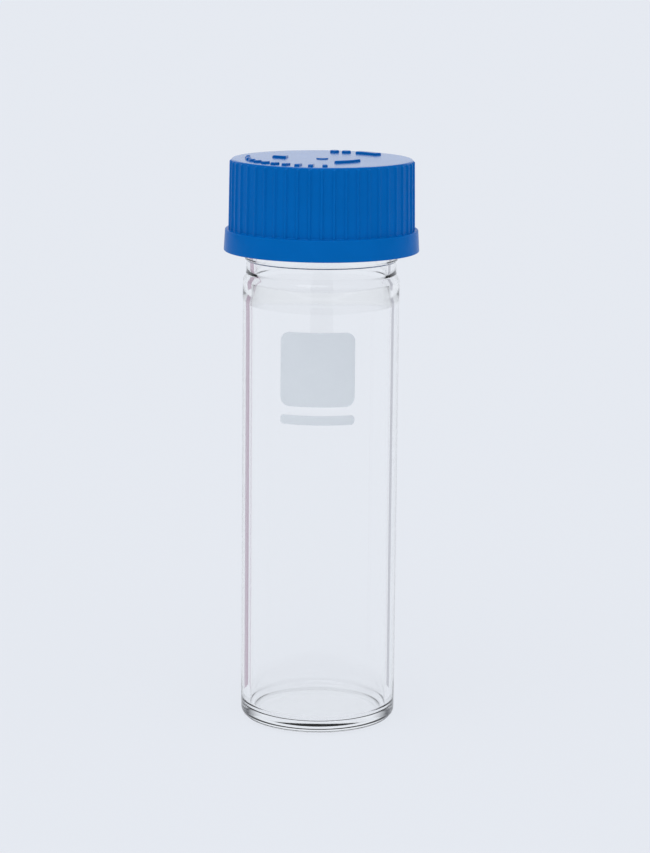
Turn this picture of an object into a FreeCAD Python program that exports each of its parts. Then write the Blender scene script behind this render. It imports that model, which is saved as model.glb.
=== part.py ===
import FreeCAD
import Part

import math
import os

# Hybridization tube: a thick-walled borosilicate glass tube with a flat, heavy base and a
# round-threaded neck, closed by a ribbed polypropylene screw cap over a faced silicone liner.
# A fired enamel marking patch faces the front, which is -Y.
# Millimetres, +Z up along the tube's axis, origin at the middle of the foot.

# Glass body
body_radius = 21.7
body_wall = 2.35
glass_height = 154.0
base_thickness = 3.3
floor_crown = 0.2
floor_corner_radius = 3.0
heel_radius = 2.7
foot_ring_radius = 15.0
foot_ring_width = 1.4
foot_hollow = 0.15
foot_rise = 0.1

# Glass neck, drawn in from the body by one step
neck_step = 0.95
neck_wall = 2.55
neck_length = 26.5
shoulder_height = 3.6
throat_depth = 30.5
throat_length = 5.5
rim_round = 1.0
collar_height = 0.35
collar_drop = 21.8
collar_rise = 0.5
collar_land = 3.4

# Round thread, right-handed, shared by neck and cap
thread_pitch = 4.0
thread_depth = 1.65
thread_flank_angle = 30.0
glass_thread_nose = 0.9
glass_thread_turns = 1.75
glass_thread_drop = 2.7
thread_fade_turns = 0.09
thread_end_sink = 0.1
thread_root_bite = 0.9
thread_sections_per_turn = 24

# Screw cap
cap_height = 25.2
cap_roof = 2.0
cap_thread_nose = 0.8
cap_thread_turns = 2.25
barrel_wall = 2.05
barrel_draft_angle = 0.9
flange_reach = 2.0
flange_height = 5.9
flange_flare = 0.35
flange_wall = 1.7
flange_ledge = 1.8
flange_edge_round = 0.25
rib_count = 48
rib_height = 0.45
rib_foot_width = 1.15
rib_crest_width = 0.5
rib_crest_crown = 0.1
rib_root_bite = 0.3
rib_end_slope_angle = 35.0
top_edge_round = 0.4
mouth_chamfer = 0.6

# Raised marks on the cap's top
mark_height = 0.6
tick_count = 11
tick_ring_radius = 20.6
tick_width = 1.35
tick_short = 1.0
tick_long = 3.2
ticks_start_angle = 172.0
ticks_end_angle = 272.0
pointer_radius = 12.0
pointer_angle = 168.0
pointer_length = 4.2
pointer_width = 3.0
dot_radius = 1.3
dot_ring_radius = 19.6
dot_angles = (80.0, 70.0)
pad_width = 2.2
pad_start_angle = 38.0
pad_end_angle = 60.0
stripe_ring_radius = 11.5
stripe_width = 0.8
stripe_start_angle = 287.0
stripe_end_angle = 331.0
gate_radius = 1.7
gate_height = 0.3

# Liner
liner_thickness = 2.0
liner_overhang = 0.1
bead_height = 0.8
bead_depth = 0.85

# Marking patch
patch_width = 21.0
patch_height = 20.4
patch_top = 113.0
patch_corner_radius = 2.6
patch_thickness = 0.05
patch_turn = -2.0
strip_height = 2.6
strip_corner_radius = 1.05
strip_gap = 2.4

# Clearances
thread_crest_gap = 0.55
thread_root_gap = 0.6
thread_flank_gap = 0.25
cap_thread_land = 0.3
liner_side_gap = 0.3
liner_bead_gap = 0.1

axis_base = FreeCAD.Vector(0, 0, 0)
axis_up = FreeCAD.Vector(0, 0, 1)


def at(radius, height):
    """A point of a half section, in the XZ plane."""
    return FreeCAD.Vector(radius, 0, height)


def line(start, end):
    return Part.LineSegment(start, end).toShape()


def arc(centre_radius, centre_height, radius, start_angle, end_angle):
    """An arc of a half section, given by its centre and its end angles in degrees."""
    points = []
    for angle in (start_angle, (start_angle + end_angle) / 2, end_angle):
        turn = math.radians(angle)
        points.append(at(centre_radius + radius * math.cos(turn), centre_height + radius * math.sin(turn)))
    return Part.Arc(*points).toShape()


def ends(edge):
    """First and last point of an edge, in the order in which it was drawn."""
    return edge.valueAt(edge.FirstParameter), edge.valueAt(edge.LastParameter)


def reverse_arc(edge):
    """The same arc, drawn from its other end."""
    first, last = ends(edge)
    middle = edge.valueAt((edge.FirstParameter + edge.LastParameter) / 2)
    return Part.Arc(last, middle, first).toShape()


def dome_radius(reach, rise):
    """Radius of the arc that is level at one end and has risen by a little at the other."""
    return (reach**2 + rise**2) / (2 * rise)


def shallow_dome(rim_radius, rim_height, crown):
    """An arc from the crown on the axis down to the rim."""
    radius = dome_radius(rim_radius, crown)
    swing = math.degrees(math.asin(rim_radius / radius))
    return arc(0, rim_height + crown - radius, radius, 90, 90 - swing)


def section(*edges):
    """A closed half section: the edges in order, with straight lines across any gap between them."""
    chain = []
    for edge in edges:
        if chain and ends(chain[-1])[1].distanceToPoint(ends(edge)[0]) > 1e-7:
            chain.append(line(ends(chain[-1])[1], ends(edge)[0]))
        chain.append(edge)
    if ends(chain[-1])[1].distanceToPoint(ends(chain[0])[0]) > 1e-7:
        chain.append(line(ends(chain[-1])[1], ends(chain[0])[0]))
    return Part.Face(Part.Wire(chain))


def turned(face):
    """The solid of revolution of a half section."""
    return face.revolve(axis_base, axis_up, 360)


def sway(low_radius, low_height, high_radius, high_height):
    """Two equal tangent arcs that carry an upright wall from one radius to another."""
    step = high_radius - low_radius
    rise = high_height - low_height
    side = math.copysign(1, step)
    bend = (step * step + rise * rise) / (4 * abs(step))
    swing = math.degrees(math.asin(min(1.0, rise / 2 / bend)))
    if side < 0:
        lower = arc(low_radius - bend, low_height, bend, 0, swing)
        upper = arc(high_radius + bend, high_height, bend, 180 + swing, 180)
    else:
        lower = arc(low_radius + bend, low_height, bend, 180, 180 - swing)
        upper = arc(high_radius - bend, high_height, bend, -swing, 0)
    return lower, upper


def thread_ridge(root, crest, nose, first_turn, last_turn, height_of_turn):
    """A round-nosed helical ridge with ends that fade into the wall at radius root.

    It stands outward where crest is larger than root, and inward where it is smaller.
    """
    side = math.copysign(1, crest - root)
    flank = math.radians(thread_flank_angle)
    buried = root - side * thread_root_bite
    count = max(8, round((last_turn - first_turn) * thread_sections_per_turn))
    wires = []
    for index in range(count + 1):
        turn = first_turn + (last_turn - first_turn) * index / count
        to_end = min(turn - first_turn, last_turn - turn)
        rise = min(1.0, to_end / thread_fade_turns)
        sunk = root - side * thread_end_sink
        tip = sunk + (crest - sunk) * rise
        wires.append(ridge_section(buried, tip, side, nose, flank, turn, height_of_turn(turn)))
    return Part.makeLoft(wires, True, False)


def ridge_section(buried, tip, side, nose, flank, turn, height):
    """One axial section of a ridge: a foot inside the wall, two flanks and a round nose."""
    nose_radius = tip - side * nose * (1 - math.sin(flank))
    nose_half = nose * math.cos(flank)
    foot_half = nose_half + abs(nose_radius - buried) * math.tan(flank)
    corners = [
        at(buried, height - foot_half),
        at(nose_radius, height - nose_half),
        at(tip, height),
        at(nose_radius, height + nose_half),
        at(buried, height + foot_half),
    ]
    edges = [
        line(corners[0], corners[1]),
        Part.Arc(corners[1], corners[2], corners[3]).toShape(),
        line(corners[3], corners[4]),
        line(corners[4], corners[0]),
    ]
    wire = Part.Wire(edges)
    wire.rotate(axis_base, axis_up, 360 * turn)
    return wire


# Heights and radii that follow from the sizes at the top
bore_radius = body_radius - body_wall
neck_radius = body_radius - neck_step
mouth_radius = neck_radius - neck_wall
collar_radius = neck_radius + collar_height
shoulder_top = glass_height - neck_length
shoulder_bottom = shoulder_top - shoulder_height
throat_top = glass_height - throat_depth
throat_bottom = throat_top - throat_length
glass_crest = neck_radius + thread_depth
glass_thread_top = glass_height - glass_thread_drop
glass_thread_foot = glass_thread_top - glass_thread_turns * thread_pitch
collar_middle = glass_height - collar_drop

liner_radius = glass_crest + liner_overhang
liner_top = glass_height + liner_thickness
cap_top = liner_top + cap_roof
cap_foot = cap_top - cap_height
cap_wall_radius = glass_crest + thread_crest_gap
cap_crest = neck_radius + thread_root_gap
barrel_radius = cap_wall_radius + barrel_wall
flange_radius = barrel_radius + flange_reach
recess_top = cap_foot + flange_height - flange_ledge


def glass_turn_height(turn):
    return glass_thread_foot + turn * thread_pitch


def cap_turn_height(turn):
    """The cap's ridge lies under the glass ridge, one flank gap away from it."""
    flank = math.radians(thread_flank_angle)
    nose_halves = (glass_thread_nose + cap_thread_nose) * (1 / math.cos(flank) - math.tan(flank))
    overlap = (glass_crest - cap_crest) * math.tan(flank)
    return glass_turn_height(turn) - nose_halves - overlap - thread_flank_gap / math.cos(flank)


def cap_first_turn():
    """The turn at which the cap's ridge starts, just above the mouth of its bore."""
    flank = math.radians(thread_flank_angle)
    nose_root = cap_crest + cap_thread_nose * (1 - math.sin(flank))
    foot_reach = cap_wall_radius + thread_root_bite - nose_root
    foot_half = cap_thread_nose * math.cos(flank) + foot_reach * math.tan(flank)
    lowest = recess_top + mouth_chamfer + cap_thread_land + foot_half
    return (lowest - cap_turn_height(0)) / thread_pitch


def make_glass_tube():
    under = shallow_dome(foot_ring_radius - foot_ring_width, 0, foot_hollow)
    heel_foot = body_radius - heel_radius
    rise_radius = dome_radius(heel_foot - foot_ring_radius, foot_rise)
    rise_swing = math.degrees(math.asin((heel_foot - foot_ring_radius) / rise_radius))
    rise = arc(foot_ring_radius, rise_radius, rise_radius, -90, rise_swing - 90)
    heel = arc(heel_foot, foot_rise + heel_radius, heel_radius, -90, 0)
    shoulder = sway(body_radius, shoulder_bottom, neck_radius, shoulder_top)
    land = collar_land / 2
    collar_low = sway(neck_radius, collar_middle - land - collar_rise, collar_radius, collar_middle - land)
    collar_high = sway(collar_radius, collar_middle + land, neck_radius, collar_middle + land + collar_rise)
    rim_height = glass_height - rim_round
    rim_outside = arc(neck_radius - rim_round, rim_height, rim_round, 0, 90)
    rim_inside = arc(mouth_radius + rim_round, rim_height, rim_round, 90, 180)
    throat_low, throat_high = sway(bore_radius, throat_bottom, mouth_radius, throat_top)
    throat = (reverse_arc(throat_high), reverse_arc(throat_low))
    corner_height = base_thickness + floor_corner_radius
    corner = arc(bore_radius - floor_corner_radius, corner_height, floor_corner_radius, 0, -90)
    floor = reverse_arc(shallow_dome(bore_radius - floor_corner_radius, base_thickness, floor_crown))
    axis = line(at(0, base_thickness + floor_crown), at(0, foot_hollow))
    outside = (under, rise, heel, *shoulder, *collar_low, *collar_high, rim_outside)
    inside = (rim_inside, *throat, corner, floor, axis)
    blank = turned(section(*outside, *inside))
    ridge = thread_ridge(
        neck_radius, glass_crest, glass_thread_nose, 0, glass_thread_turns, glass_turn_height
    )
    return blank.fuse(ridge)


def rib_wire(height, valley):
    """One rib's section at a height, from a foot inside the wall to its crowned crest."""
    foot_half = rib_foot_width / 2
    crest_half = rib_crest_width / 2
    flare = (foot_half - crest_half) / rib_height
    root_half = foot_half + rib_root_bite * flare

    def point(radius, across):
        return FreeCAD.Vector(radius, across, height)

    root = valley - rib_root_bite
    shoulder = valley + rib_height - rib_crest_crown
    side_half = crest_half + rib_crest_crown * flare
    crest = Part.Arc(point(shoulder, -side_half), point(valley + rib_height, 0), point(shoulder, side_half))
    return Part.Wire([
        line(point(root, -root_half), point(shoulder, -side_half)),
        crest.toShape(),
        line(point(shoulder, side_half), point(root, root_half)),
        line(point(root, root_half), point(root, -root_half)),
    ])


def make_cap_barrel():
    """The drafted barrel with its ribs, which run out under the rounded top edge."""
    seat = cap_foot + flange_height / 2
    low_radius = barrel_radius + (cap_top - seat) * math.tan(math.radians(barrel_draft_angle))
    foot = line(at(0, seat), at(low_radius, seat))
    roof = line(at(barrel_radius, cap_top), at(0, cap_top))
    core = turned(section(foot, roof))
    rib = Part.makeLoft([rib_wire(seat, low_radius), rib_wire(cap_top, barrel_radius)], True, True)
    ribs = []
    for index in range(rib_count):
        copy = rib.copy()
        copy.rotate(axis_base, axis_up, 360 * index / rib_count)
        ribs.append(copy)
    reach = 2 * rib_height
    edge_height = cap_top - top_edge_round
    end_drop = reach * math.tan(math.radians(rib_end_slope_angle))
    corner = arc(barrel_radius - top_edge_round, edge_height, top_edge_round, 90, 0)
    rib_ends = line(at(barrel_radius, edge_height), at(barrel_radius + reach, edge_height - end_drop))
    over_height = cap_top + reach
    over = line(at(barrel_radius + reach, over_height), at(barrel_radius - top_edge_round, over_height))
    return core.fuse(ribs).cut(turned(section(corner, rib_ends, over)))


def make_cap_flange():
    low_edge = arc(
        flange_radius - flange_edge_round, cap_foot + flange_edge_round, flange_edge_round, -90, 0
    )
    top_radius = flange_radius - flange_flare
    top_height = cap_foot + flange_height
    high_edge = arc(
        top_radius - flange_edge_round, top_height - flange_edge_round, flange_edge_round, 0, 90
    )
    axis = line(at(0, top_height), at(0, cap_foot))
    return turned(section(axis, low_edge, high_edge))


def make_cap_hollow():
    """Everything inside the cap: liner seat, retaining bead, thread bore and the wide mouth."""
    pocket_radius = liner_radius + liner_side_gap
    bead_top = glass_height - liner_bead_gap
    bead_foot = bead_top - bead_height
    bead_radius = pocket_radius - bead_depth
    recess_radius = flange_radius - flange_wall
    corners = [
        at(0, liner_top),
        at(pocket_radius, liner_top),
        at(pocket_radius, bead_top),
        at(bead_radius, bead_top - bead_height / 2),
        at(cap_wall_radius, bead_foot - bead_height / 2),
        at(cap_wall_radius, recess_top + mouth_chamfer),
        at(cap_wall_radius + mouth_chamfer, recess_top),
        at(recess_radius, recess_top),
        at(recess_radius, cap_foot),
        at(0, cap_foot),
    ]
    edges = [line(a, b) for a, b in zip(corners, corners[1:])]
    return turned(section(*edges))


def sector(radius, width, start_angle, end_angle, height):
    """A raised curved bar on the cap's top, centred on the given radius."""
    outer, inner = radius + width / 2, radius - width / 2
    sink = cap_roof / 2
    corner = at(0, cap_top - sink)
    sweep = end_angle - start_angle
    ring = Part.makeCylinder(outer, sink + height, corner, axis_up, sweep)
    bar = ring.cut(Part.makeCylinder(inner, sink + height, corner, axis_up, sweep))
    bar.rotate(axis_base, axis_up, start_angle)
    return bar


def disc(radius, ring_radius, angle, height):
    """A raised round mark on the cap's top."""
    sink = cap_roof / 2
    mark = Part.makeCylinder(radius, sink + height, at(ring_radius, cap_top - sink))
    mark.rotate(axis_base, axis_up, angle)
    return mark


def pointer():
    """A raised triangle that points outward along a radius of the cap's top."""
    sink = cap_roof / 2
    foot = cap_top - sink
    tip = at(pointer_radius + pointer_length / 2, foot)
    left = FreeCAD.Vector(pointer_radius - pointer_length / 2, pointer_width / 2, foot)
    right = FreeCAD.Vector(pointer_radius - pointer_length / 2, -pointer_width / 2, foot)
    face = Part.Face(Part.makePolygon([tip, left, right, tip]))
    mark = face.extrude(axis_up * (sink + mark_height))
    mark.rotate(axis_base, axis_up, pointer_angle)
    return mark


def make_cap_marks():
    """Plain raised marks: a turning scale of growing ticks, a pointer, dots, a pad and a stripe."""
    marks = [disc(gate_radius, 0, 0, gate_height), pointer()]
    for index in range(tick_count):
        share = index / (tick_count - 1)
        angle = ticks_start_angle + (ticks_end_angle - ticks_start_angle) * share
        length = tick_short + (tick_long - tick_short) * share
        half = math.degrees(tick_width / 2 / tick_ring_radius)
        marks.append(sector(tick_ring_radius, length, angle - half, angle + half, mark_height))
    for angle in dot_angles:
        marks.append(disc(dot_radius, dot_ring_radius, angle, mark_height))
    marks.append(sector(dot_ring_radius, pad_width, pad_start_angle, pad_end_angle, mark_height))
    stripe_angles = (stripe_start_angle, stripe_end_angle)
    marks.append(sector(stripe_ring_radius, stripe_width, *stripe_angles, mark_height))
    return marks


def make_screw_cap():
    blank = make_cap_barrel().fuse([make_cap_flange(), *make_cap_marks()])
    shell = blank.cut(make_cap_hollow())
    first = cap_first_turn()
    ridge = thread_ridge(
        cap_wall_radius, cap_crest, cap_thread_nose, first, first + cap_thread_turns, cap_turn_height
    )
    return shell.fuse(ridge)


def make_liner():
    return Part.makeCylinder(liner_radius, liner_thickness, at(0, glass_height))


def rounded_panel(width, height, foot, corner):
    """A round-cornered upright panel in the XZ plane, drawn from its foot upwards."""
    half = width / 2
    corners = [(half, foot, -90), (half, foot + height, 0), (-half, foot + height, 90), (-half, foot, 180)]
    edges = []
    for x, z, start in corners:
        centre_x = x - math.copysign(corner, x)
        centre_z = z + corner if z == foot else z - corner
        edges.append(arc(centre_x, centre_z, corner, start, start + 90))
    return section(*edges)


def make_marking_patch():
    """Enamel fired on the glass: a round-cornered panel with a narrow strip under it."""
    foot = patch_top - patch_height
    strip_foot = foot - strip_gap - strip_height
    sleeve_height = patch_top - strip_foot
    outside = Part.makeCylinder(body_radius + patch_thickness, sleeve_height, at(0, strip_foot))
    sleeve = outside.cut(Part.makeCylinder(body_radius, sleeve_height, at(0, strip_foot)))
    reach = FreeCAD.Vector(0, -(body_radius + patch_width), 0)
    panel = rounded_panel(patch_width, patch_height, foot, patch_corner_radius).extrude(reach)
    strip = rounded_panel(patch_width, strip_height, strip_foot, strip_corner_radius).extrude(reach)
    pieces = []
    for shape in (panel, strip):
        piece = sleeve.common(shape)
        piece.rotate(axis_base, axis_up, patch_turn)
        pieces.extend(piece.Solids)
    return Part.makeCompound(pieces)


def write(name, shape):
    solids = shape.Solids
    print(
        f"{name}: {len(solids)} solid(s), valid {shape.isValid()}, "
        f"{sum(solid.Volume for solid in solids):.1f} mm3, {len(shape.Faces)} faces"
    )
    Part.makeCompound(solids).exportStep(f"parts/{name}.step")


def main():
    os.makedirs("parts", exist_ok=True)
    write("glass_tube", make_glass_tube())
    write("screw_cap", make_screw_cap())
    write("sealing_liner", make_liner())
    write("marking_patch", make_marking_patch())


main()
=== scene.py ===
# %% [markdown]
# A hybridization tube, dressed over its engineering model
#
# The object is a thick-walled glass tube with a flat foot and a threaded neck. A ribbed blue
# screw cap closes it over a soft liner, and a pale enamel patch is fired on its front.
# The engineering model gives every piece its size and place. This lesson gives each piece the
# smooth surface and the finish that a photograph of it shows.
# The first cell loads that model as a fixed frame and keeps the box that it fills.

# %% Load the fixed frame
import math

import bpy
import numpy as np
from mathutils import Matrix, Vector


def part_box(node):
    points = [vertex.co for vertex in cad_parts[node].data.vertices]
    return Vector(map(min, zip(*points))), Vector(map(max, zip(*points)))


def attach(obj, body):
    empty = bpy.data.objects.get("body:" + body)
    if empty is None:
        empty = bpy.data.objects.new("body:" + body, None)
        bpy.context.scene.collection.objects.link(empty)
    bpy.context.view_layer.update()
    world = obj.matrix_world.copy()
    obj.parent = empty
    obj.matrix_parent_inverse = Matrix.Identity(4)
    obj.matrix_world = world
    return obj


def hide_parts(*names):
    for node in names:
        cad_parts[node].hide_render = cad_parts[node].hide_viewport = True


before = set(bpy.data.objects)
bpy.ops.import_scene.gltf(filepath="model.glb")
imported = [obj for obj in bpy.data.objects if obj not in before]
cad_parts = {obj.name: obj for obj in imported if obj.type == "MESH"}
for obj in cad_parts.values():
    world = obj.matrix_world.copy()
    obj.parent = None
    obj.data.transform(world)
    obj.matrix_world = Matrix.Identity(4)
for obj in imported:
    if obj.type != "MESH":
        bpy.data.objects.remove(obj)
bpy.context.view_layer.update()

MM = 0.001

# %% [markdown]
# Sizes that the pieces share
#
# A made object has few sizes that matter, and the rest follow from them. The heights and the
# greatest radii are read from the frame, so a change in the engineering model carries over.
# What the frame's boxes can't tell, such as a wall or a fillet, is named here in millimetres.

# %% Read the driving sizes
glass_low, glass_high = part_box("glass_tube")
cap_low, cap_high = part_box("screw_cap")
liner_low, liner_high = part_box("sealing_liner")
patch_low, patch_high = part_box("marking_patch")

GLASS_HEIGHT = glass_high.z
THREAD_CREST = glass_high.x
CAP_FOOT = cap_low.z
FLANGE_RADIUS = cap_high.x
LINER_TOP = liner_high.z
MARK_HEIGHT = 0.6 * MM
CAP_TOP = cap_high.z - MARK_HEIGHT

THREAD_DEPTH = 1.65 * MM
NECK_RADIUS = THREAD_CREST - THREAD_DEPTH
BODY_RADIUS = NECK_RADIUS + 0.95 * MM
print(f"glass {GLASS_HEIGHT / MM:.1f} mm high, body {2 * BODY_RADIUS / MM:.1f} mm across")
print(f"cap from {CAP_FOOT / MM:.1f} to {CAP_TOP / MM:.1f} mm high")
print(f"flange {2 * FLANGE_RADIUS / MM:.1f} mm across")

# %% [markdown]
# The camera
#
# A long lens from a little above gives the photograph its calm, nearly parallel lines. The
# camera's place and tilt were solved from the ellipses that the foot, the flange and the top of
# the cap make in the picture. A sensor 36 mm long then turns the focal length from pixels
# into millimetres.

# %% Set up the camera
IMAGE_WIDTH, IMAGE_HEIGHT = 650, 853
FOCAL_PIXELS = 2863
SENSOR_LENGTH = 36.0


def make_camera(place, pitch_down, roll):
    """A camera that looks along +Y, tilted down and turned about its own axis, in degrees."""
    camera = bpy.data.objects.new("camera", bpy.data.cameras.new("camera"))
    camera.data.sensor_width = SENSOR_LENGTH
    camera.data.sensor_fit = "AUTO"
    camera.data.lens = FOCAL_PIXELS / IMAGE_HEIGHT * SENSOR_LENGTH
    tilt = Matrix.Rotation(math.radians(90 - pitch_down), 4, "X")
    turn = Matrix.Rotation(math.radians(roll), 4, "Z")
    camera.matrix_world = Matrix.Translation(place) @ tilt @ turn
    bpy.context.scene.collection.objects.link(camera)
    return camera


camera = make_camera(Vector((1.44, -785.3, 235.1)) * MM, pitch_down=10.95, roll=0.549)
bpy.context.scene.camera = camera
print(f"lens {camera.data.lens:.1f} mm at {camera.location.y:.3f} m")

# %% [markdown]
# Turning a half section into a solid
#
# Blown glass and a moulded cap are both round about one axis, so each is drawn as half a
# section and turned, as on a lathe. Blender's Screw modifier can do that, but it can't carry a
# helical thread or ribs. Building the rings of points with numpy can: every point may be moved
# along its radius by a rule before the faces are made.

# %% Draw and turn half sections
SAME_POINT = 1e-7
ON_WALL = 1e-6


def arc_points(centre_radius, centre_height, radius, start, end, steps):
    """Points on an arc of a half section, from a start angle to an end angle in degrees."""
    angles = np.radians(np.linspace(start, end, steps + 1))
    return [(centre_radius + radius * math.cos(a), centre_height + radius * math.sin(a)) for a in angles]


def sway_points(start, end, steps):
    """Two equal tangent arcs that carry an upright wall from one radius and height to another."""
    (r0, z0), (r1, z1) = start, end
    step, rise = abs(r1 - r0), abs(z1 - z0)
    bend = (step * step + rise * rise) / (4 * step)
    swing = math.asin(min(1.0, rise / 2 / bend))
    points = []
    for index in range(steps + 1):
        share = index / steps
        angle = swing * (2 * share if share <= 0.5 else 2 - 2 * share)
        side = bend * (1 - math.cos(angle)) / step
        across = side if share <= 0.5 else 1 - side
        along = bend * math.sin(angle) / rise
        up = along if share <= 0.5 else 1 - along
        points.append((r0 + (r1 - r0) * across, z0 + (z1 - z0) * up))
    return points


def rise_points(start, end, steps):
    """A curve that leaves its start level and has risen to its end."""
    shares = np.linspace(0, 1, steps + 1)
    return [(start[0] + (end[0] - start[0]) * s, start[1] + (end[1] - start[1]) * s * s) for s in shares]


def dish_points(start, end, steps):
    """A quarter of an ellipse from a wall down and in to a floor."""
    turns = [math.pi / 2 * step / steps for step in range(steps + 1)]
    reach, drop = start[0] - end[0], start[1] - end[1]
    return [(end[0] + reach * math.cos(turn), start[1] - drop * math.sin(turn)) for turn in turns]


def dome_points(radius, height, crown, steps):
    """A shallow dome, from its crown on the axis out to its rim."""
    return rise_points((0, height + crown), (radius, height), steps)


def wall_points(start, end, spacing):
    """Evenly spaced points on a straight stretch of a half section."""
    length = math.dist(start, end)
    steps = max(1, round(length / spacing))
    run = np.array(end) - np.array(start)
    return [tuple(np.array(start) + run * index / steps) for index in range(steps + 1)]


def joined(*runs):
    """One outline from several runs of points, with doubled points left out."""
    outline = []
    for run in runs:
        for point in run:
            if not outline or math.dist(outline[-1], point) > SAME_POINT:
                outline.append(point)
    return outline


def turn_solid(name, outline, angles, move=None):
    """Turns an outline that starts and ends on the axis into a closed mesh.

    move(angle, radius, height) gives new radii for the rings.
    """
    rings = np.array(outline[1:-1])
    segments = len(angles)
    angle_grid, radius = np.meshgrid(angles, rings[:, 0])
    height = np.repeat(rings[:, 1:2], segments, axis=1)
    if move:
        radius = move(angle_grid, radius, height)
    ring_points = np.stack([radius * np.cos(angle_grid), radius * np.sin(angle_grid), height], -1)
    poles = [(0, 0, outline[0][1]), (0, 0, outline[-1][1])]
    vertices = np.concatenate([ring_points.reshape(-1, 3), poles])

    count = len(rings)
    index = np.arange(count * segments).reshape(count, segments)
    beside = np.roll(index, -1, axis=1)
    quads = np.stack([index[:-1], beside[:-1], beside[1:], index[1:]], -1).reshape(-1, 4)
    first, last = count * segments, count * segments + 1
    start_fan = [(first, b, a) for a, b in zip(index[0], beside[0])]
    end_fan = [(last, a, b) for a, b in zip(index[-1], beside[-1])]

    mesh = bpy.data.meshes.new(name)
    mesh.from_pydata(vertices.tolist(), [], quads.tolist() + start_fan + end_fan)
    mesh.shade_smooth()
    piece = bpy.data.objects.new(name, mesh)
    bpy.context.scene.collection.objects.link(piece)
    print(f"{name}: {count} rings of {segments} points, {len(mesh.polygons)} faces")
    return piece


# %% [markdown]
# A round thread as a rule
#
# Lab glass carries a round thread: a ridge with a rounded nose and 30 degree flanks that winds
# up the neck. Sweeping a profile along a helix and joining it to the neck leaves a hard seam.
# Here the thread is a rule instead: for each point of the wall, find the nearest turn of the
# ridge and lift the wall by the ridge's height there. The glass and the cap use the same rule,
# one outward and one inward, so the two threads mesh.

# %% Define the thread
PITCH = 4.0 * MM
FLANK = math.radians(30)
GLASS_TURNS = 1.75
THREAD_DROP = 2.7 * MM
GLASS_THREAD_FOOT = GLASS_HEIGHT - THREAD_DROP - GLASS_TURNS * PITCH
FADE_TURNS = 0.09
ROOT_FILLET = 0.22 * MM


def ridge(distance, height, nose):
    """Height of a round-nosed ridge at a distance from its middle, with a soft root."""
    distance = np.abs(distance)
    nose_half = nose * math.cos(FLANK)
    on_nose = height - nose + np.sqrt(np.maximum(nose**2 - distance**2, 0))
    on_flank = height - nose * (1 - math.sin(FLANK)) - (distance - nose_half) / math.tan(FLANK)
    lift = np.where(distance < nose_half, on_nose, on_flank)
    in_root = np.clip(lift + ROOT_FILLET, 0, 2 * ROOT_FILLET) ** 2 / (4 * ROOT_FILLET)
    return np.maximum(lift, in_root)


def thread_lift(angle, height, foot, first_turn, turns, full, nose):
    """How far a thread lifts the wall at each angle and height."""
    lift = np.zeros_like(angle)
    share = angle / (2 * math.pi)
    for winding in range(math.floor(first_turn), math.ceil(first_turn + turns) + 1):
        turn = winding + share
        to_end = np.minimum(turn - first_turn, first_turn + turns - turn)
        rise = np.clip(to_end / FADE_TURNS, 0, 1)
        crest = (full + ROOT_FILLET) * rise - ROOT_FILLET
        lift = np.maximum(lift, ridge(height - foot - turn * PITCH, crest, nose))
    return lift


# %% [markdown]
# The glass
#
# The tube is drawn from heavy-walled tubing. Its foot is pressed flat and slightly hollow, its
# heel is round, and the neck is drawn in by about a millimetre. Under the cap a low collar runs
# round the neck. What makes glass look right is the shape of both of its faces: the
# pale and dark bands at its edges are the inner wall, seen through the outer one. So the outline
# goes up the outside, over the rim, and down the inside to the floor.

# %% Build the glass
BODY_WALL = 2.35 * MM
NECK_WALL = 2.55 * MM
BORE_RADIUS = BODY_RADIUS - BODY_WALL
MOUTH_RADIUS = NECK_RADIUS - NECK_WALL
BASE_THICKNESS = 3.1 * MM
FLOOR_CROWN = 0.2 * MM
HEEL_RADIUS = 2.7 * MM
FOOT_RING_RADIUS = 15.0 * MM
FOOT_RING_WIDTH = 1.4 * MM
FOOT_HOLLOW = 0.15 * MM
FOOT_RISE = 0.1 * MM
FLOOR_CORNER = 3.0 * MM
FLOOR_DROP = 2.3 * MM
RIM_ROUND = 1.0 * MM
SHOULDER_TOP = GLASS_HEIGHT - 26.5 * MM
SHOULDER_BOTTOM = SHOULDER_TOP - 3.6 * MM
THROAT_TOP = GLASS_HEIGHT - 28.0 * MM
THROAT_BOTTOM = THROAT_TOP - 9.0 * MM
COLLAR_RADIUS = NECK_RADIUS + 0.35 * MM
COLLAR_MIDDLE = GLASS_HEIGHT - 21.8 * MM
COLLAR_LAND = 1.7 * MM
COLLAR_RISE = 0.5 * MM
GLASS_NOSE = 0.9 * MM


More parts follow.
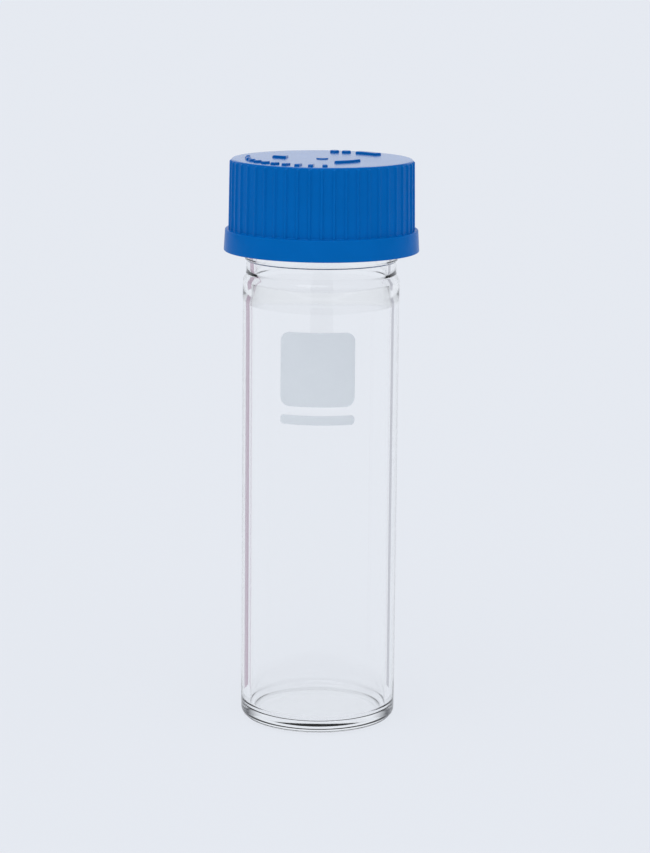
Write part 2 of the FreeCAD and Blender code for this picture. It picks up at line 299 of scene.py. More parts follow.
def glass_outline():
    """The half section of the glass, from the middle of the foot round to the inner floor."""
    ring_inner = FOOT_RING_RADIUS - FOOT_RING_WIDTH
    heel_foot = BODY_RADIUS - HEEL_RADIUS
    floor_edge = BORE_RADIUS - FLOOR_CORNER
    collar_low = COLLAR_MIDDLE - COLLAR_LAND
    collar_high = COLLAR_MIDDLE + COLLAR_LAND
    rim = GLASS_HEIGHT - RIM_ROUND
    corner = BASE_THICKNESS + FLOOR_DROP
    return joined(
        dome_points(ring_inner, 0, FOOT_HOLLOW, 16),
        wall_points((ring_inner, 0), (FOOT_RING_RADIUS, 0), 0.7 * MM),
        rise_points((FOOT_RING_RADIUS, 0), (heel_foot, FOOT_RISE), 10),
        arc_points(heel_foot, FOOT_RISE + HEEL_RADIUS, HEEL_RADIUS, -90, 0, 24),
        wall_points((BODY_RADIUS, FOOT_RISE + HEEL_RADIUS), (BODY_RADIUS, SHOULDER_BOTTOM), 6 * MM),
        sway_points((BODY_RADIUS, SHOULDER_BOTTOM), (NECK_RADIUS, SHOULDER_TOP), 20),
        sway_points((NECK_RADIUS, collar_low - COLLAR_RISE), (COLLAR_RADIUS, collar_low), 20),
        sway_points((COLLAR_RADIUS, collar_high), (NECK_RADIUS, collar_high + COLLAR_RISE), 20),
        wall_points((NECK_RADIUS, collar_high + COLLAR_RISE), (NECK_RADIUS, rim), 0.22 * MM),
        arc_points(NECK_RADIUS - RIM_ROUND, rim, RIM_ROUND, 0, 90, 10),
        arc_points(MOUTH_RADIUS + RIM_ROUND, rim, RIM_ROUND, 90, 180, 10),
        wall_points((MOUTH_RADIUS, rim), (MOUTH_RADIUS, THROAT_TOP), 4 * MM),
        sway_points((MOUTH_RADIUS, THROAT_TOP), (BORE_RADIUS, THROAT_BOTTOM), 24),
        wall_points((BORE_RADIUS, THROAT_BOTTOM), (BORE_RADIUS, corner), 6 * MM),
        dish_points((BORE_RADIUS, corner), (floor_edge, BASE_THICKNESS), 20),
        dome_points(floor_edge, BASE_THICKNESS, FLOOR_CROWN, 12)[::-1],
    )


def glass_thread(angle, radius, height):
    """Lifts the thread out of the outer wall of the neck."""
    lift = thread_lift(angle, height, GLASS_THREAD_FOOT, 0, GLASS_TURNS, THREAD_DEPTH, GLASS_NOSE)
    above_collar = height > COLLAR_MIDDLE + COLLAR_LAND + COLLAR_RISE
    on_neck = above_collar & (np.abs(radius - NECK_RADIUS) < ON_WALL)
    return radius + np.where(on_neck, lift, 0)


GLASS_SEGMENTS = 288
even_angles = np.linspace(0, 2 * math.pi, GLASS_SEGMENTS, endpoint=False)
glass = turn_solid("tube_glass", glass_outline(), even_angles, glass_thread)
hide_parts("glass_tube")
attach(glass, "tube")

# %% [markdown]
# The cap
#
# The cap is one injection moulding. Its barrel has 48 narrow ribs to grip, which run out under a
# rounded rim, and a plain flange at the foot. Inside are a pocket for the liner, a snap bead
# that keeps it there, the round thread and a wide mouth. Ribs could be extruded one by one and
# joined, but then every rib needs its own fillets. As a rule on a turned wall they come out
# soft at foot and crest, and the points round the wall stand closer where a rib is.

# %% Draw the cap's half section
BARREL_WALL = 2.05 * MM
THREAD_CREST_GAP = 0.55 * MM
CAP_BORE = THREAD_CREST + THREAD_CREST_GAP
VALLEY_RADIUS = CAP_BORE + BARREL_WALL
DRAFT = math.tan(math.radians(0.9))
RIM_EDGE = 0.4 * MM
RIB_END_ZONE = 0.4 * MM
FLANGE_HEIGHT = 5.9 * MM
FLANGE_FLARE = 0.35 * MM
FLANGE_WALL = 1.7 * MM
FLANGE_LEDGE = 1.8 * MM
LINER_RADIUS = THREAD_CREST + 0.1 * MM
POCKET_RADIUS = LINER_RADIUS + 0.3 * MM
BEAD_HEIGHT = 0.8 * MM
BEAD_DEPTH = 0.85 * MM
BEAD_TOP = GLASS_HEIGHT - 0.1 * MM
MOUTH_CHAMFER = 0.6 * MM
RECESS_TOP = CAP_FOOT + FLANGE_HEIGHT - FLANGE_LEDGE
FLANGE_TOP = CAP_FOOT + FLANGE_HEIGHT


NEARLY_STRAIGHT = math.radians(89)


def rounded(corners, steps=5):
    """An outline through corners (radius, height, fillet), each rounded by its fillet."""
    points = [np.array(corner[:2]) for corner in corners]
    outline = [tuple(points[0])]
    for before, here, after, fillet in zip(points, points[1:], points[2:], [c[2] for c in corners[1:]]):
        back = (before - here) / np.linalg.norm(before - here)
        on = (after - here) / np.linalg.norm(after - here)
        half = math.acos(float(np.clip(back @ on, -1, 1))) / 2
        if fillet == 0 or half > NEARLY_STRAIGHT:
            outline.append(tuple(here))
            continue
        reach = fillet / math.tan(half)
        centre = here + (back + on) / np.linalg.norm(back + on) * fillet / math.sin(half)
        start, end = here + back * reach - centre, here + on * reach - centre
        for index in range(steps + 1):
            share = index / steps
            spoke = start * (1 - share) + end * share
            outline.append(tuple(centre + spoke / np.linalg.norm(spoke) * fillet))
    outline.append(tuple(points[-1]))
    return outline


def divided(outline, low, high, radius, spacing):
    """Adds points to the upright stretch at a radius, between two heights."""
    result = [outline[0]]
    for before, here in zip(outline, outline[1:]):
        upright = abs(here[0] - radius) < ON_WALL and abs(before[0] - radius) < ON_WALL
        if upright and abs(before[1] - here[1]) > spacing and low <= min(before[1], here[1]) <= high:
            result.extend(wall_points(before, here, spacing)[1:])
        else:
            result.append(here)
    return result


def barrel_radius(height):
    """The valley's radius, which grows downward by the mould's draft."""
    return VALLEY_RADIUS + (CAP_TOP - RIM_EDGE - height) * DRAFT


def cap_outline():
    """The half section of the cap, from under the roof, down the inside and up the outside."""
    bead_crest = POCKET_RADIUS - BEAD_DEPTH
    bead_foot = BEAD_TOP - BEAD_HEIGHT
    recess_radius = FLANGE_RADIUS - FLANGE_WALL
    flange_top_radius = FLANGE_RADIUS - FLANGE_FLARE
    inside = rounded([
        (0, LINER_TOP, 0),
        (POCKET_RADIUS, LINER_TOP, 0.3 * MM),
        (POCKET_RADIUS, BEAD_TOP, 0.1 * MM),
        (bead_crest, BEAD_TOP - BEAD_HEIGHT / 2, 0.25 * MM),
        (CAP_BORE, bead_foot - BEAD_HEIGHT / 2, 0.3 * MM),
        (CAP_BORE, RECESS_TOP + MOUTH_CHAMFER, 0),
        (CAP_BORE + MOUTH_CHAMFER, RECESS_TOP, 0.1 * MM),
        (recess_radius, RECESS_TOP, 0.4 * MM),
        (recess_radius, CAP_FOOT, 0.25 * MM),
        (FLANGE_RADIUS, CAP_FOOT, 0.25 * MM),
        (flange_top_radius, FLANGE_TOP, 0.25 * MM),
        (barrel_radius(FLANGE_TOP), FLANGE_TOP, 0.35 * MM),
        (VALLEY_RADIUS, CAP_TOP - RIM_EDGE, 0),
    ])
    inside = divided(inside, RECESS_TOP, BEAD_TOP, CAP_BORE, 0.26 * MM)
    rib_ends = CAP_TOP - RIM_EDGE - RIB_END_ZONE
    return joined(
        inside[:-1],
        wall_points((barrel_radius(rib_ends), rib_ends), (VALLEY_RADIUS, CAP_TOP - RIM_EDGE), 0.05 * MM),
        arc_points(VALLEY_RADIUS - RIM_EDGE, CAP_TOP - RIM_EDGE, RIM_EDGE, 0, 90, 9),
        wall_points((VALLEY_RADIUS - RIM_EDGE, CAP_TOP), (0, CAP_TOP), 3 * MM),
    )


# %% [markdown]
# Ribs and thread of the cap
#
# The outline alone gives a plain round cap. Its ribs and its thread come from one rule, which
# moves every point of the turned wall along its radius. A rib could be a second object, repeated
# by an Array modifier, but then it would only stand in the wall. The rule lifts the wall itself,
# so the moulding stays one closed skin. The cap's thread sits one flank gap under the glass's.

# %% Turn the cap with its ribs and thread
RIB_COUNT = 48
RIB_HEIGHT = 0.45 * MM
RIB_FOOT_HALF = 0.575 * MM
RIB_CREST_HALF = 0.2 * MM
RIB_END_RUN = 0.35 * MM
CAP_NOSE = 0.8 * MM
CAP_THREAD_CREST = NECK_RADIUS + 0.6 * MM
CAP_TURNS = 2.25
FLANK_GAP = 0.25 * MM
THREAD_LAND = 0.3 * MM
ROOT_BITE = 0.9 * MM


def soft_step(value):
    """Rises from 0 to 1 with level ends."""
    value = np.clip(value, 0, 1)
    return value * value * (3 - 2 * value)


def rib_lift(angle, height):
    """How far a rib lifts the barrel's wall."""
    pitch = 2 * math.pi / RIB_COUNT
    across = np.abs((angle + pitch / 2) % pitch - pitch / 2) * VALLEY_RADIUS
    profile = soft_step((RIB_FOOT_HALF - across) / (RIB_FOOT_HALF - RIB_CREST_HALF))
    ending = soft_step((CAP_TOP - RIM_EDGE - height) / RIB_END_RUN)
    return RIB_HEIGHT * profile * ending


def cap_thread_foot():
    """Height at which the cap's ridge would cross turn 0: under the glass ridge, one gap away."""
    noses = (GLASS_NOSE + CAP_NOSE) * (1 / math.cos(FLANK) - math.tan(FLANK))
    overlap = (THREAD_CREST - CAP_THREAD_CREST) * math.tan(FLANK)
    return GLASS_THREAD_FOOT - noses - overlap - FLANK_GAP / math.cos(FLANK)


def cap_first_turn():
    """The turn at which the cap's ridge starts, just above the mouth of its bore."""
    nose_root = CAP_THREAD_CREST + CAP_NOSE * (1 - math.sin(FLANK))
    foot_half = CAP_NOSE * math.cos(FLANK) + (CAP_BORE + ROOT_BITE - nose_root) * math.tan(FLANK)
    return (RECESS_TOP + MOUTH_CHAMFER + THREAD_LAND + foot_half - cap_thread_foot()) / PITCH


def cap_form(angle, radius, height):
    """Lifts the ribs out of the barrel, and the thread inward out of the bore."""
    on_bore = (np.abs(radius - CAP_BORE) < ON_WALL) & (height > RECESS_TOP)
    lift = thread_lift(
        angle, height, cap_thread_foot(), cap_first_turn(), CAP_TURNS, CAP_BORE - CAP_THREAD_CREST, CAP_NOSE
    )
    threaded = radius - np.where(on_bore, lift, 0)
    outside = (height > FLANGE_TOP - ON_WALL) & (radius > CAP_BORE + 0.5 * BARREL_WALL)
    ribbed = barrel_radius(height) + rib_lift(angle, height)
    on_barrel = outside & (height < CAP_TOP - RIM_EDGE)
    return np.where(on_barrel, np.maximum(threaded, ribbed), threaded)


def rib_angles():
    """Angles round the cap: close together across each rib, and few in the valleys."""
    pitch = 2 * math.pi / RIB_COUNT
    half_rib = np.array([0.08, 0.22, 0.34, 0.46, 0.575]) * MM / VALLEY_RADIUS
    valley = pitch / 2 + np.array([-0.55, 0, 0.55]) * MM / VALLEY_RADIUS
    period = np.concatenate([-half_rib[::-1], half_rib, valley])
    return np.concatenate([period + index * pitch for index in range(RIB_COUNT)])


cap = turn_solid("cap_moulding", cap_outline(), rib_angles(), cap_form)
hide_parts("screw_cap")
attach(cap, "cap")

# %% [markdown]
# Raised marks on the cap
#
# The top of the cap carries plain marks that are moulded with it: a turning scale of growing
# ticks, a pointer, two dots, a pad, a fine stripe and the round mark of the mould's gate. Each is
# an outline seen from above, raised with a soft edge. An outline is pushed inward in four small
# steps while it rises, which rounds the edge without a modifier.

# %% Raise the marks
MARK_EDGE = 0.34 * MM
MARK_SINK = 0.2 * MM
GATE_HEIGHT = 0.3 * MM


def bar_outline(radius, width, start, end, steps):
    """A curved bar, between two angles in degrees."""
    angles = np.radians(np.linspace(start, end, steps + 1))
    outer = [((radius + width / 2) * math.cos(a), (radius + width / 2) * math.sin(a)) for a in angles]
    inner = [((radius - width / 2) * math.cos(a), (radius - width / 2) * math.sin(a)) for a in angles[::-1]]
    return outer + inner


def disc_outline(radius, ring, angle, steps=28):
    """A round mark, whose middle is on a ring at an angle in degrees."""
    turn = math.radians(angle)
    middle = (ring * math.cos(turn), ring * math.sin(turn))
    spokes = np.linspace(0, 2 * math.pi, steps, endpoint=False)
    return [(middle[0] + radius * math.cos(a), middle[1] + radius * math.sin(a)) for a in spokes]


def pointer_outline(ring, length, width, angle):
    """A triangle that points outward."""
    turn = Matrix.Rotation(math.radians(angle), 2)
    corners = [(ring + length / 2, 0), (ring - length / 2, width / 2), (ring - length / 2, -width / 2)]
    return [tuple(turn @ Vector(corner)) for corner in corners]


def pushed_in(outline, distance):
    """The outline moved inward by a distance, corner by corner."""
    points = np.array(outline)
    along = np.roll(points, -1, axis=0) - points
    along /= np.linalg.norm(along, axis=1)[:, None]
    inward = np.stack([-along[:, 1], along[:, 0]], -1)
    bisector = inward + np.roll(inward, 1, axis=0)
    bisector /= np.einsum("ij,ij->i", bisector, inward)[:, None]
    return points + bisector * distance


def raise_marks(name, marks, base):
    """One mesh from many (outline, height) marks that stand on a level face."""
    vertices, faces = [], []
    for outline, height in marks:
        edge = min(MARK_EDGE, height * 0.8)
        levels = [(0, base - MARK_SINK), (0, base + height - edge)]
        for angle in (22.5, 45, 67.5, 90):
            swing = math.radians(angle)
            levels.append((edge * (1 - math.cos(swing)), base + height - edge * (1 - math.sin(swing))))
        first, count = len(vertices), len(outline)
        for inset, level in levels:
            vertices.extend((x, y, level) for x, y in pushed_in(outline, inset))
        for low in range(len(levels) - 1):
            for index in range(count):
                after = (index + 1) % count
                here, above = first + low * count, first + (low + 1) * count
                faces.append((here + index, here + after, above + after, above + index))
        faces.append(tuple(range(first + (len(levels) - 1) * count, first + len(levels) * count)))
        faces.append(tuple(reversed(range(first, first + count))))
    mesh = bpy.data.meshes.new(name)
    mesh.from_pydata(vertices, [], faces)
    mesh.shade_smooth()
    mesh.set_sharp_from_angle(angle=math.radians(50))
    piece = bpy.data.objects.new(name, mesh)
    bpy.context.scene.collection.objects.link(piece)
    print(f"{name}: {len(marks)} marks, {len(mesh.polygons)} faces")
    return piece


def cap_marks():
    """The marks in order: turning scale, pointer, dots, pad, stripe and gate."""
    marks = []
    tick_count, tick_ring, tick_width = 11, 20.6 * MM, 1.35 * MM
    first_tick, scale_sweep = 172, 100
    shortest_tick, tick_growth = 1.0, 2.2
    half = math.degrees(tick_width / 2 / tick_ring)
    for index in range(tick_count):
        share = index / (tick_count - 1)
        angle = first_tick + scale_sweep * share
        length = (shortest_tick + tick_growth * share) * MM
        marks.append((bar_outline(tick_ring, length, angle - half, angle + half, 3), MARK_HEIGHT))
    pointer = pointer_outline(ring=12 * MM, length=4.2 * MM, width=3 * MM, angle=168)
    marks.append((pointer, MARK_HEIGHT))
    for angle in (80, 70):
        marks.append((disc_outline(radius=1.3 * MM, ring=19.6 * MM, angle=angle), MARK_HEIGHT))
    pad = bar_outline(radius=19.6 * MM, width=2.2 * MM, start=38, end=60, steps=12)
    marks.append((pad, MARK_HEIGHT))
    stripe = bar_outline(radius=11.5 * MM, width=0.8 * MM, start=287, end=331, steps=18)
    marks.append((stripe, MARK_HEIGHT))
    marks.append((disc_outline(radius=1.7 * MM, ring=0, angle=0), GATE_HEIGHT))
    return marks


marks = raise_marks("cap_marks", cap_marks(), CAP_TOP)
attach(marks, "cap")

# %% [markdown]
# The marking patch
#
# The pale patch on the front is enamel that is printed and fired on the glass. It is only a
# film, so it has to follow the glass exactly. A flat panel pressed on with a Shrinkwrap
# modifier would do, but its outline is as easy to work out: rows of points whose half width
# shrinks at the round corners, wrapped round the glass by turning distance into angle.

# %% Wrap the patch on the glass
PATCH_WIDTH = 21.0 * MM
PATCH_TOP = patch_high.z
PATCH_HEIGHT = 20.4 * MM
PATCH_CORNER = 2.6 * MM
STRIP_HEIGHT = 2.6 * MM
STRIP_CORNER = 0.4 * STRIP_HEIGHT
STRIP_FOOT = patch_low.z
PATCH_FRONT = -90
PATCH_TURN = math.radians(PATCH_FRONT - 2)
FILM = 0.05 * MM
FILM_GAP = 0.004 * MM


def film_rows(low, high, corner):
    """Heights of the rows of a round-cornered panel, with the half width at each."""
    ends = np.radians(np.linspace(0, 90, 9))
    lift = corner * (1 - np.cos(ends))
    side = PATCH_WIDTH / 2 - corner * (1 - np.sin(ends))
    middle = np.linspace(low + corner, high - corner, 6)[1:-1]
    rows = list(zip(low + lift, side)) + [(z, PATCH_WIDTH / 2) for z in middle]
    return rows + list(zip(high - lift[::-1], side[::-1]))


def wrapped_panel(low, high, corner, columns=64):
    """Vertices and faces of a closed film on the glass, between two heights."""
    rows = film_rows(low, high, corner)
    vertices = []
    for radius in (BODY_RADIUS + FILM_GAP, BODY_RADIUS + FILM):
        for height, half in rows:
            for share in np.linspace(-1, 1, columns + 1):
                angle = PATCH_TURN + share * half / BODY_RADIUS
                vertices.append((radius * math.cos(angle), radius * math.sin(angle), height))
    row, count = columns + 1, len(rows)
    layer = row * count
    faces = []
    for r in range(count - 1):
        for c in range(columns):
            a, b, d, e = r * row + c, r * row + c + 1, (r + 1) * row + c + 1, (r + 1) * row + c
            faces.append((a + layer, b + layer, d + layer, e + layer))
            faces.append((e, d, b, a))
    edge = list(range(row))
    edge += [r * row + columns for r in range(1, count)]
    edge += [(count - 1) * row + c for c in range(columns - 1, -1, -1)]
    edge += [r * row for r in range(count - 2, 0, -1)]
    for a, b in zip(edge, edge[1:] + edge[:1]):
        faces.append((a, b, b + layer, a + layer))
    return vertices, faces


def make_patch():
    """The patch and the strip under it, as one mesh."""
    panels = [
        (PATCH_TOP - PATCH_HEIGHT, PATCH_TOP, PATCH_CORNER),
        (STRIP_FOOT, STRIP_FOOT + STRIP_HEIGHT, STRIP_CORNER),
    ]
    vertices, faces = [], []
    for low, high, corner in panels:
        more, around = wrapped_panel(low, high, corner)
        faces += [tuple(index + len(vertices) for index in face) for face in around]
        vertices += more
    mesh = bpy.data.meshes.new("enamel_patch")
    mesh.from_pydata(vertices, [], faces)
    mesh.shade_smooth()
    mesh.set_sharp_from_angle(angle=math.radians(40))
    piece = bpy.data.objects.new("enamel_patch", mesh)
    bpy.context.scene.collection.objects.link(piece)
    return piece


patch = make_patch()
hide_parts("marking_patch")
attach(patch, "tube")
print(f"patch from {STRIP_FOOT / MM:.1f} to {PATCH_TOP / MM:.1f} mm")

# %% [markdown]
# The liner
#
# A soft silicone disc sits in the roof of the cap and seals on the rim of the glass. It is a
# plain cut disc, so the engineering model's own solid has the right shape. A narrow bevel takes
# the razor edge off it, as a punched disc has.

# %% Soften the liner's edges
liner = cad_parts["sealing_liner"]
bevel = liner.modifiers.new("punched edge", "BEVEL")
bevel.width = 0.12 * MM
bevel.segments = 3
bevel.limit_method = "ANGLE"
bevel.angle_limit = math.radians(50)
liner.data.shade_smooth()
print("liner", len(liner.data.polygons), "faces before its bevel")

# %% [markdown]
# Writing materials as sums
#
# A material is a small calculation at every point of a surface. Placing nodes by hand hides
# that, so here a socket is wrapped in a class that takes part in Python expressions: adding two
# wrapped sockets adds a Math node. Every other node comes from one method, which takes the
# node's type, its settings and what goes into its sockets.

# %% Wrap sockets and nodes
class Flow:
    """The value that leaves one socket. Arithmetic with it adds Math nodes."""

    def __init__(self, finish, socket):
        self.finish = finish
        self.socket = socket

    def math(self, operation, *inputs):
        return self.finish.node("ShaderNodeMath", {"operation": operation}, dict(enumerate(inputs)))

    def __add__(self, other):
        return self.math("ADD", self, other)

    def __sub__(self, other):
        return self.math("SUBTRACT", self, other)

    def __rsub__(self, other):
        return self.math("SUBTRACT", other, self)

    def __mul__(self, other):
        return self.math("MULTIPLY", self, other)

    def __truediv__(self, other):
        return self.math("DIVIDE", self, other)

    def larger(self, other):
        return self.math("MAXIMUM", self, other)

    def smaller(self, other):
        return self.math("MINIMUM", self, other)

    def fade(self, start, end):
        """Goes evenly from 0 at the start value to 1 at the end value."""
        return ((self - start) / (end - start)).larger(0).smaller(1)

    def out(self, name):
        """Another output of the same node."""
        return Flow(self.finish, self.socket.node.outputs[name])

    __radd__ = __add__
    __rmul__ = __mul__


class Finish:
    """A material's node tree, which is filled from Python expressions."""

    def __init__(self, name, tree=None):
        self.material = None
        if tree is None:
            self.material = bpy.data.materials.new(name)
            self.material.use_nodes = True
            tree = self.material.node_tree
        self.tree = tree
        self.tree.nodes.clear()

    def node(self, kind, settings=None, inputs=None):
        """Adds a node. Its settings come first, then the values or links of its sockets."""
        node = self.tree.nodes.new(kind)
        for name, value in (settings or {}).items():
            setattr(node, name, value)
        for name, value in (inputs or {}).items():
            if isinstance(value, Flow):
                self.tree.links.new(value.socket, node.inputs[name])
            else:
                node.inputs[name].default_value = value
        shown = [socket for socket in node.outputs if socket.enabled]
        return Flow(self, shown[0]) if shown else node

    def mixed(self, share, first, second):
        """A colour between two colours."""
        return self.node("ShaderNodeMix", {"data_type": "RGBA"}, {0: share, 6: first, 7: second})

    def surface(self, shader):
        self.node("ShaderNodeOutputMaterial", inputs={"Surface": shader})
        return self.material


def colour(red, green, blue):
    """A colour as a picture gives it, from 0 to 255, turned into the light that a shader works in."""
    parts = [value / 255 for value in (red, green, blue)]
    linear = [p / 12.92 if p <= 0.04045 else ((p + 0.055) / 1.055) ** 2.4 for p in parts]
    return (*linear, 1.0)


CAP_BLUE = colour(0, 101, 180)
CAP_BLUE_PALER = colour(2, 107, 190)
print("blue of the cap in linear light:", [round(part, 3) for part in CAP_BLUE])

# %% [markdown]
# Clear glass
#
# Borosilicate glass bends light by an index of 1.474. The dark and pale bands along its edges need
# no paint: they are the room, bent by two true surfaces. Drawn tubing isn't perfect, though.
# It carries faint waves along its length, which a weak stretched noise gives as a bump. A
# shadow ray passes through, because clear glass throws a pale shadow and tracing that shadow
# by bent light alone takes far more samples.

# %% Make the glass finish
def glass_finish():
    """Clear glass with faint drawn waves and smudges, through which shadow rays pass."""
    finish = Finish("borosilicate_glass")
    place = finish.node("ShaderNodeTexCoord").out("Object")
    along = finish.node("ShaderNodeMapping", inputs={"Vector": place, "Scale": (1.0, 1.0, 0.12)})
    waves = finish.node(
        "ShaderNodeTexNoise", inputs={"Vector": along, "Scale": 90.0, "Detail": 1.0, "Roughness": 0.4}
    )
    bump = finish.node("ShaderNodeBump", inputs={"Strength": 0.08, "Distance": 0.0002, "Height": waves})
    smudge = finish.node("ShaderNodeTexNoise", inputs={"Vector": place, "Scale": 35.0, "Detail": 4.0})
    clear = finish.node(
        "ShaderNodeBsdfPrincipled",
        inputs={
            "Base Color": (0.997, 0.998, 0.998, 1),
            "Transmission Weight": 1.0,
            "IOR": 1.474,
            "Roughness": (smudge - 0.55).larger(0) * 0.06,
            "Normal": bump,
        },
    )
    through = finish.node("ShaderNodeBsdfTransparent", inputs={"Color": (0.985, 0.988, 0.992, 1)})
    shadow = finish.node("ShaderNodeLightPath").out("Is Shadow Ray")
    return finish.surface(finish.node("ShaderNodeMixShader", inputs={"Fac": shadow, 1: clear, 2: through}))


glass.data.materials.clear()
glass.data.materials.append(glass_finish())
print("glass finish:", len(glass.data.materials[0].node_tree.nodes), "nodes")

# %% [markdown]
# Blue moulded polypropylene
#
# Polypropylene is a waxy plastic: its colour is deep and even, and its gloss is broad. The mould
# leaves a very fine grain, and handling leaves soft patches that are a little duller. Both
# are noise, one very fine and fed to a bump, the other coarse and fed to the roughness. The roof
# of the mould is polished, so the top of the cap has a thin coat that mirrors the room.

# %% Make the cap's finish
def polypropylene_finish():
    """Waxy blue plastic with a fine grain, duller patches and a glossier top."""
    finish = Finish("blue_polypropylene")
    place = finish.node("ShaderNodeTexCoord").out("Object")
    grain = finish.node("ShaderNodeTexNoise", inputs={"Vector": place, "Scale": 2600.0, "Detail": 2.0})
    flow = finish.node("ShaderNodeTexNoise", inputs={"Vector": place, "Scale": 110.0, "Detail": 3.0})
    bump = finish.node("ShaderNodeBump", inputs={"Strength": 0.25, "Distance": 0.00003, "Height": grain})
    tint = finish.mixed(flow, CAP_BLUE, CAP_BLUE_PALER)
    height = finish.node("ShaderNodeSeparateXYZ", inputs={"Vector": place}).out("Z")
    polished = height.fade(CAP_TOP - 1.2 * RIM_EDGE, CAP_TOP - 0.2 * RIM_EDGE)
    plastic = finish.node(
        "ShaderNodeBsdfPrincipled",
        inputs={
            "Base Color": tint,
            "IOR": 1.49,
            "Specular IOR Level": 0.03,
            "Roughness": 0.2 + flow * 0.08,
            "Coat Weight": polished * 0.75,
            "Coat Roughness": 0.15,
            "Normal": bump,
        },
    )
    return finish.surface(plastic)


blue = polypropylene_finish()
for piece in (cap, marks):
    piece.data.materials.clear()
    piece.data.materials.append(blue)
print("cap finish:", len(blue.node_tree.nodes), "nodes on", cap.name, "and", marks.name)

# %% [markdown]
# Fired enamel and silicone
#
# The enamel of the patch is ground glass and pigment, printed and fired. It is matt, so that a
# pencil writes on it, with a fine speckle. The liner is milky silicone with a bonded white film.

# %% Make the enamel and the silicone
def enamel_finish():
    """Matt pale enamel with a speckle."""
    finish = Finish("white_enamel")
    place = finish.node("ShaderNodeTexCoord").out("Object")
    speckle = finish.node("ShaderNodeTexNoise", inputs={"Vector": place, "Scale": 1500.0, "Detail": 3.0})
    cloud = finish.node("ShaderNodeTexNoise", inputs={"Vector": place, "Scale": 120.0, "Detail": 3.0})
    tint = finish.mixed(cloud * 0.6 + speckle * 0.4, colour(226, 231, 234), colour(234, 239, 241))
    bump = finish.node("ShaderNodeBump", inputs={"Strength": 0.3, "Distance": 0.00002, "Height": speckle})
    enamel = finish.node(
        "ShaderNodeBsdfPrincipled",
        inputs={"Base Color": tint, "Roughness": 0.5 + speckle * 0.2, "Normal": bump},
    )
    return finish.surface(enamel)


def silicone_finish():
    """Milky silicone, white below the level where its bonded film ends."""
    finish = Finish("silicone_rubber")
    place = finish.node("ShaderNodeTexCoord").out("Object")
    height = finish.node("ShaderNodeSeparateXYZ", inputs={"Vector": place}).out("Z")
    haze = finish.node("ShaderNodeTexNoise", inputs={"Vector": place, "Scale": 300.0, "Detail": 3.0})
    film_top = GLASS_HEIGHT + 0.25 * MM
    film = height.fade(film_top, film_top - 0.025 * MM)
    tint = finish.mixed(film, colour(176, 178, 180), colour(236, 236, 232))
    bump = finish.node("ShaderNodeBump", inputs={"Strength": 0.2, "Distance": 0.00002, "Height": haze})
    rubber = finish.node(
        "ShaderNodeBsdfPrincipled",
        inputs={"Base Color": tint, "Roughness": 0.38 + haze * 0.2, "Normal": bump},
    )
    return finish.surface(rubber)


patch.data.materials.clear()
patch.data.materials.append(enamel_finish())
liner.data.materials.clear()
liner.data.materials.append(silicone_finish())
for piece in (patch, liner):
    print(f"{piece.data.materials[0].name}: {len(piece.data.materials[0].node_tree.nodes)} nodes")

# %% [markdown]
# The floor
#
# The photograph was taken on a white sweep in soft light. Since the camera looks down, one long
# pale floor fills the whole picture. White paper alone would show every unevenness of the light,
# and more light would wash out the object. So most of what the eye gets from the floor is a
# steady glow, and the rest is lit paper, which keeps the object's soft shadow.

# %% Lay the floor
FLOOR_SIDE = 16.0
FLOOR_MIDDLE = (0, 5.0, -0.15 * MM)
GLOW_SHARE = 0.88


def add_plane(name, width, depth, middle):
    """A level rectangle, which is not attached to the object."""
    mesh = bpy.data.meshes.new(name)
    side, front = width / 2, depth / 2
    corners = [(-side, -front, 0), (side, -front, 0), (side, front, 0), (-side, front, 0)]
    mesh.from_pydata(corners, [], [(0, 1, 2, 3)])
    plane = bpy.data.objects.new(name, mesh)
    plane.location = middle
    bpy.context.scene.collection.objects.link(plane)
    return plane


def eye_rays(finish):
    """1 for rays that come from the camera, also by way of a mirror or through glass."""
    path = finish.node("ShaderNodeLightPath")
    bounced = path.out("Is Glossy Ray").larger(path.out("Is Transmission Ray"))
    return path.out("Is Camera Ray").larger(bounced)


def floor_finish():
    """White paper. Part of it glows for the eye alone, which keeps it even and the shadow soft."""
    finish = Finish("floor")
    paper = finish.node("ShaderNodeBsdfDiffuse", inputs={"Color": colour(231, 234, 240), "Roughness": 1.0})
    glow = finish.node("ShaderNodeEmission", inputs={"Color": colour(230, 234, 241), "Strength": 1.0})
    share = eye_rays(finish) * GLOW_SHARE
    return finish.surface(finish.node("ShaderNodeMixShader", inputs={"Fac": share, 1: paper, 2: glow}))


floor = add_plane("floor", FLOOR_SIDE, FLOOR_SIDE, FLOOR_MIDDLE)
floor.data.materials.append(floor_finish())
print(f"floor {FLOOR_SIDE:.0f} m square, {-FLOOR_MIDDLE[2] / MM:.2f} mm under the foot")

# %% [markdown]
# Light and room
#
# Clear glass has no look of its own: it shows the room. Behind and above, the room is as pale as
# the sweep. To the sides and in front it is dark, which draws the thin dark lines round the neck
# and the heel. Photographers of glassware stand narrow cards beside the object to draw its
# edges. Two such cards, one mauve and one grey, are seen by bent light alone, so they neither
# light the object nor shade it. A soft sun from above gives the faint shadow on the floor.

# %% Light the scene
FLAG_DISTANCE = 20 * MM
FLAG_FOOT = 0.1 * MM
FLAG_HEIGHT = 130 * MM


def add_sun(name, strength, direction, angle):
    """A broad lamp that is far away. A wide angle in degrees makes its shadows soft."""
    lamp = bpy.data.lights.new(name, "SUN")
    lamp.energy = strength
    lamp.angle = math.radians(angle)
    holder = bpy.data.objects.new(name, lamp)
    holder.rotation_euler = Vector(direction).to_track_quat("-Z", "Y").to_euler()
    bpy.context.scene.collection.objects.link(holder)
    return holder


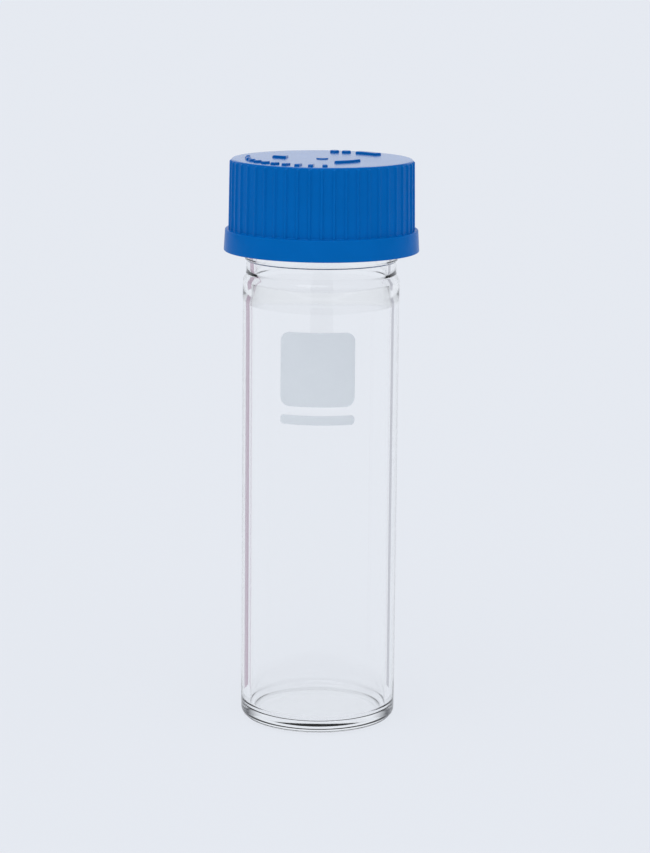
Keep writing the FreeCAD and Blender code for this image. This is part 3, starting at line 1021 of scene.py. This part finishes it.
def add_flag(name, from_x, to_x, tint):
    """A narrow standing card that only bent light shows, to draw the edge of the glass."""
    mesh = bpy.data.meshes.new(name)
    corners = [(from_x, 0, 0), (to_x, 0, 0), (to_x, 0, FLAG_HEIGHT), (from_x, 0, FLAG_HEIGHT)]
    mesh.from_pydata(corners, [], [(0, 1, 2, 3)])
    flag = bpy.data.objects.new(name, mesh)
    flag.location = (0, FLAG_DISTANCE, FLAG_FOOT)
    flag.visible_camera = False
    flag.visible_diffuse = False
    flag.visible_glossy = False
    flag.visible_shadow = False
    bpy.context.scene.collection.objects.link(flag)
    finish = Finish(name)
    glow = finish.node("ShaderNodeEmission", inputs={"Color": tint})
    mesh.materials.append(finish.surface(glow))
    return flag


def room_light():
    """A pale sweep behind and above, and a dark room in front, where the camera stands.

    Only the eye sees it, in the object. Everything is lit by a soft and even sky.
    """
    world = bpy.data.worlds.new("room")
    bpy.context.scene.world = world
    world.use_nodes = True
    room = Finish("room", world.node_tree)
    direction = room.node("ShaderNodeTexCoord").out("Generated")
    split = room.node("ShaderNodeSeparateXYZ", inputs={"Vector": direction})
    behind = split.out("Y").fade(0.55, 0.8)
    above = split.out("Z").fade(0.6, 0.9)
    straight = room.node("ShaderNodeLightPath").out("Is Camera Ray")
    pale = behind.larger(above).larger(straight)
    seen = room.mixed(pale, colour(42, 44, 50), colour(232, 236, 242))
    shown = room.node("ShaderNodeBackground", inputs={"Color": seen, "Strength": 1.0})
    soft = room.node("ShaderNodeBackground", inputs={"Color": colour(238, 240, 245), "Strength": 0.86})
    both = room.node("ShaderNodeMixShader", inputs={"Fac": eye_rays(room), 1: soft, 2: shown})
    room.node("ShaderNodeOutputWorld", inputs={"Surface": both})


room_light()
sun = add_sun("top_light", strength=0.7, direction=(0.15, 0.45, -1.0), angle=50)
flags = [
    add_flag("mauve_flag", -42 * MM, -31 * MM, colour(176, 158, 175)),
    add_flag("grey_flag", 36 * MM, 43.5 * MM, colour(184, 186, 195)),
]
print("lit by the room and", sun.name, "with", [flag.name for flag in flags])

bpy.context.scene.view_settings.view_transform = "Standard"
